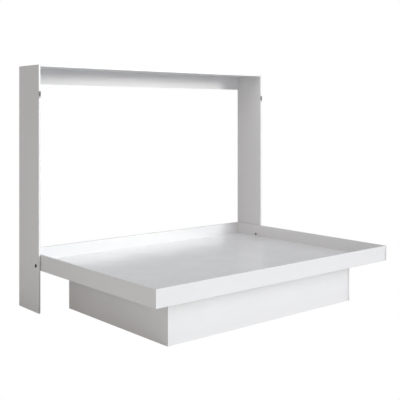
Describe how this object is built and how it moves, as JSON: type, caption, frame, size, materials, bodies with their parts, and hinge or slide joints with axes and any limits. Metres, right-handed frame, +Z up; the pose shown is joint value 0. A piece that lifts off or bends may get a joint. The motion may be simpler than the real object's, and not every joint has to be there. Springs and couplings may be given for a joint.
{
  "type": "fold-down wall bed frame",
  "caption": "Wall bed frame: an open portal stands at the wall, and a shallow mattress tray with a boxed base under it swings up into the portal.",
  "frame": {"origin": "middle of the floor area covered by the open bed, at floor level", "axes": "+X along the bed's length, +Y towards the wall, +Z up"},
  "size_m": [2.1216, 1.5735, 1.675],
  "materials": {
    "white_board": "satin white lacquered board",
    "bare_wood": "unfinished beech",
    "dark_steel": "blackened steel",
    "zinc_steel": "zinc plated, satin",
    "white_plastic": "moulded, matt",
    "grey_nylon": "moulded nylon, matt"
  },
  "bodies": {
    "frame": {"left_side_panel": "white_board", "right_side_panel": "white_board", "top_panel": "white_board", "back_rail": "white_board", "wall_screw_cap_left": "white_plastic", "wall_screw_cap_middle": "white_plastic", "wall_screw_cap_right": "white_plastic", "top_dowel_left_front": "bare_wood", "top_dowel_left_back": "bare_wood", "top_dowel_right_front": "bare_wood", "top_dowel_right_back": "bare_wood", "rail_dowel_left_upper": "bare_wood", "rail_dowel_left_lower": "bare_wood", "rail_dowel_right_upper": "bare_wood", "rail_dowel_right_lower": "bare_wood", "left_pivot_bush": "grey_nylon", "right_pivot_bush": "grey_nylon", "left_latch_washer": "zinc_steel", "right_latch_washer": "zinc_steel", "left_latch_screw": "dark_steel", "right_latch_screw": "dark_steel"},
    "tray": {"tray_floor": "white_board", "tray_front_rim": "white_board", "tray_back_rim": "white_board", "tray_left_rim": "white_board", "tray_right_rim": "white_board", "tray_dowel_front_left_upper": "bare_wood", "tray_dowel_front_left_lower": "bare_wood", "tray_dowel_front_right_upper": "bare_wood", "tray_dowel_front_right_lower": "bare_wood", "tray_dowel_back_left_upper": "bare_wood", "tray_dowel_back_left_lower": "bare_wood", "tray_dowel_back_right_upper": "bare_wood", "tray_dowel_back_right_lower": "bare_wood", "left_pivot_spacer": "grey_nylon", "left_pivot_washer": "zinc_steel", "left_pivot_nut": "zinc_steel", "left_pivot_bolt": "dark_steel", "right_pivot_spacer": "grey_nylon", "right_pivot_washer": "zinc_steel", "right_pivot_nut": "zinc_steel", "right_pivot_bolt": "dark_steel", "base_left_panel": "white_board", "base_right_panel": "white_board", "base_front_panel": "white_board", "base_back_panel": "white_board", "base_bottom_panel": "white_board", "base_rib_left": "white_board", "base_rib_right": "white_board", "base_cleat_front": "bare_wood", "base_cleat_back": "bare_wood", "base_cleat_left": "bare_wood", "base_cleat_right": "bare_wood", "base_screw_left_front": "zinc_steel", "base_screw_left_back": "zinc_steel", "base_screw_right_front": "zinc_steel", "base_screw_right_back": "zinc_steel"},
    "left_latch": {"left_latch": "dark_steel"},
    "right_latch": {"right_latch": "dark_steel"}
  },
  "joints": [
    {"name": "tray_fold", "type": "hinge", "parent": "frame", "child": "tray", "pos_m": [0, 0.53925, 0.316], "axis": [-1, 0, 0], "range_deg": [0, 90]},
    {"name": "left_latch_turn", "type": "hinge", "parent": "frame", "child": "left_latch", "pos_m": [-1.048, 0.4982, 1.474], "axis": [0, 1, 0], "range_deg": [0, 90]},
    {"name": "right_latch_turn", "type": "hinge", "parent": "frame", "child": "right_latch", "pos_m": [1.048, 0.4982, 1.474], "axis": [0, -1, 0], "range_deg": [0, 90]}
  ]
}
